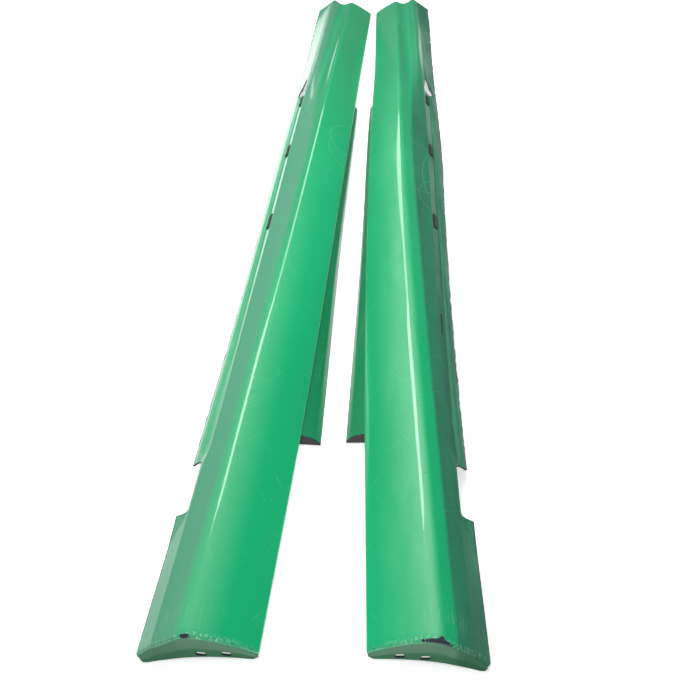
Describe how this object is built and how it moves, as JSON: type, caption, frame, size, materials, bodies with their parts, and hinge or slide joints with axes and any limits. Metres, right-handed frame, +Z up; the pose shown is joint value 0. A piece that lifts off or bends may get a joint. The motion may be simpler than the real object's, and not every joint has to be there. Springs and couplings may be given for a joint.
{
  "type": "car side skirt pair",
  "caption": "Pair of painted car side skirts, mirror images lying face up, each a long tapering cover with a sharp crest, clip slots, screwed end plate and a short lower flange.",
  "frame": {"origin": "centre of the pair on the ground", "axes": "+X towards the right skirt, +Y along the pair towards the far ends, +Z up from the ground"},
  "size_m": [0.4462, 2.2166, 0.0862],
  "materials": {
    "green_paint": "clear-coated green paint over plastic",
    "green_inner": "thinner green paint on the ends and the lower flange",
    "black_plastic": "matt black moulded plastic",
    "seal_rubber": "dusty soft rubber"
  },
  "bodies": {
    "left_skirt": {"left_cover": "green_paint", "left_near_plate": "green_inner", "left_far_plate": "green_inner", "left_lower_flange": "green_inner", "left_flange_stop": "black_plastic", "left_edge_seal": "seal_rubber", "left_ribs": "green_inner"},
    "right_skirt": {"right_cover": "green_paint", "right_near_plate": "green_inner", "right_far_plate": "green_inner", "right_lower_flange": "green_inner", "right_flange_stop": "black_plastic", "right_edge_seal": "seal_rubber", "right_ribs": "green_inner"},
    "left_clip_1_body": {"left_clip_1": "black_plastic"},
    "left_clip_2_body": {"left_clip_2": "black_plastic"},
    "left_clip_3_body": {"left_clip_3": "black_plastic"},
    "right_clip_1_body": {"right_clip_1": "black_plastic"},
    "right_clip_2_body": {"right_clip_2": "black_plastic"},
    "right_clip_3_body": {"right_clip_3": "black_plastic"}
  },
  "joints": [
    {"name": "right_skirt_lift", "type": "slide", "parent": "left_skirt", "child": "right_skirt", "axis": [0, 0, 1], "range_m": [0, 0.3]},
    {"name": "left_clip_1_float", "type": "slide", "parent": "left_skirt", "child": "left_clip_1_body", "axis": [0.015, 0.9998, -0.0162], "range_m": [-0.004, 0.004]},
    {"name": "left_clip_2_float", "type": "slide", "parent": "left_skirt", "child": "left_clip_2_body", "axis": [0.015, 0.9998, -0.0152], "range_m": [-0.004, 0.004]},
    {"name": "left_clip_3_float", "type": "slide", "parent": "left_skirt", "child": "left_clip_3_body", "axis": [0.021, 0.9997, -0.0133], "range_m": [-0.004, 0.004]},
    {"name": "right_clip_1_float", "type": "slide", "parent": "right_skirt", "child": "right_clip_1_body", "axis": [-0.015, 0.9998, -0.0162], "range_m": [-0.004, 0.004]},
    {"name": "right_clip_2_float", "type": "slide", "parent": "right_skirt", "child": "right_clip_2_body", "axis": [-0.015, 0.9998, -0.0152], "range_m": [-0.004, 0.004]},
    {"name": "right_clip_3_float", "type": "slide", "parent": "right_skirt", "child": "right_clip_3_body", "axis": [-0.021, 0.9997, -0.0133], "range_m": [-0.004, 0.004]}
  ]
}
